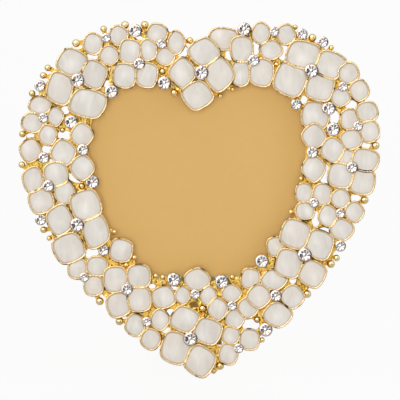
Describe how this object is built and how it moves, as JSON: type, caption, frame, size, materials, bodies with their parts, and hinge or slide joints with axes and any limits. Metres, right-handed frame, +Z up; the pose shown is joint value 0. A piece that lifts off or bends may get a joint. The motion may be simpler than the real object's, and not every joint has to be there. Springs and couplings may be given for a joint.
{
  "type": "heart shaped photo frame",
  "caption": "Heart-shaped table photo frame with a gold openwork border of pearly enamel blossoms and crystals, glazed window, slide-out back and folding easel leg.",
  "frame": {"origin": "middle of the flat that the heart's tip stands on", "axes": "+X to the right as seen from the front, +Y to the back, +Z up; the face leans back 12 degrees"},
  "size_m": [0.1086, 0.0436, 0.1047],
  "materials": {
    "gold_plate": "gold plated, polished",
    "enamel": "pearly off-white",
    "crystal": "cut and foil backed",
    "window_glass": "clear",
    "insert_paper": "plain tan, matt",
    "card": "grey board",
    "steel": "plain"
  },
  "bodies": {
    "frame": {"backing_card": "card", "gap_crystals": "crystal", "glass_pane": "window_glass", "gold_beads": "gold_plate", "heart_plate": "gold_plate", "large_blossom_cleft": "gold_plate", "large_blossom_crystals": "crystal", "large_blossom_left_low": "gold_plate", "large_blossom_left_shoulder": "gold_plate", "large_blossom_right_low": "gold_plate", "large_blossom_right_shoulder": "gold_plate", "large_blossom_tip": "gold_plate", "large_petal_enamel": "enamel", "left_channel": "gold_plate", "medium_blossom_crystals": "crystal", "medium_blossom_left_edge": "gold_plate", "medium_blossom_left_foot": "gold_plate", "medium_blossom_left_inner": "gold_plate", "medium_blossom_left_lobe": "gold_plate", "medium_blossom_right_edge": "gold_plate", "medium_blossom_right_foot": "gold_plate", "medium_blossom_right_inner": "gold_plate", "medium_blossom_right_lobe": "gold_plate", "medium_petal_enamel": "enamel", "photo_insert": "insert_paper", "right_channel": "gold_plate", "single_petal_enamel": "enamel", "single_petals": "gold_plate", "small_blossom_crystals": "crystal", "small_blossom_left_edge": "gold_plate", "small_blossom_left_lobe": "gold_plate", "small_blossom_left_low": "gold_plate", "small_blossom_left_of_cleft": "gold_plate", "small_blossom_left_of_tip": "gold_plate", "small_blossom_right_edge": "gold_plate", "small_blossom_right_inner": "gold_plate", "small_blossom_right_lobe": "gold_plate", "small_blossom_right_low": "gold_plate", "small_blossom_right_of_tip": "gold_plate", "small_blossom_right_shoulder": "gold_plate", "small_blossom_tip_edge": "gold_plate", "small_blossom_window_foot": "gold_plate", "small_petal_enamel": "enamel", "stone_cups": "gold_plate"},
    "back": {"back_plate": "gold_plate", "hinge_bracket": "gold_plate", "bracket_rivets": "gold_plate", "hinge_pin": "steel"},
    "easel": {"easel_leg": "gold_plate"}
  },
  "joints": [
    {"name": "back_slide", "type": "slide", "parent": "frame", "child": "back", "axis": [0, 0.2079, 0.9781], "range_m": [0, 0.07]},
    {"name": "easel_fold", "type": "hinge", "parent": "back", "child": "easel", "pos_m": [0, 0.02404, 0.06401], "axis": [-1, 0, 0], "range_deg": [0, 24]}
  ]
}
